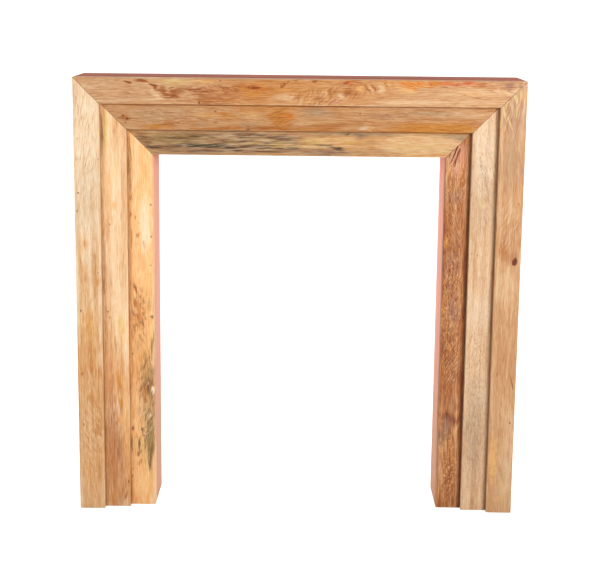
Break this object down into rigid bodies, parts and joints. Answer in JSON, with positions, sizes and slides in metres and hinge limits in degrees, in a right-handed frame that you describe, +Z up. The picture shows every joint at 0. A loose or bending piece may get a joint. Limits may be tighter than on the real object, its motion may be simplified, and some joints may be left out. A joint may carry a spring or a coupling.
{
  "type": "fireplace surround",
  "caption": "Mitred, stepped wooden fireplace surround with plywood returns, sides and shelf, open at the back, to stand against a wall.",
  "frame": {"origin": "on the floor, in the middle of the footprint", "axes": "+X to the right of someone facing the fire, +Y from the face towards the wall, +Z up"},
  "size_m": [1.1, 0.195, 1.092],
  "materials": {
    "mango_wood": "satin wax over planed solid mango wood",
    "plywood": "satin sealed red-brown plywood"
  },
  "bodies": {
    "root": {"outer_stile_left": "mango_wood", "outer_stile_right": "mango_wood", "outer_lintel": "mango_wood", "middle_stile_left": "mango_wood", "middle_stile_right": "mango_wood", "middle_lintel": "mango_wood", "inner_stile_left": "mango_wood", "inner_stile_right": "mango_wood", "inner_lintel": "mango_wood", "shelf": "plywood", "side_left": "plywood", "side_right": "plywood", "return_left": "plywood", "return_right": "plywood", "soffit": "plywood"}
  },
  "joints": []
}
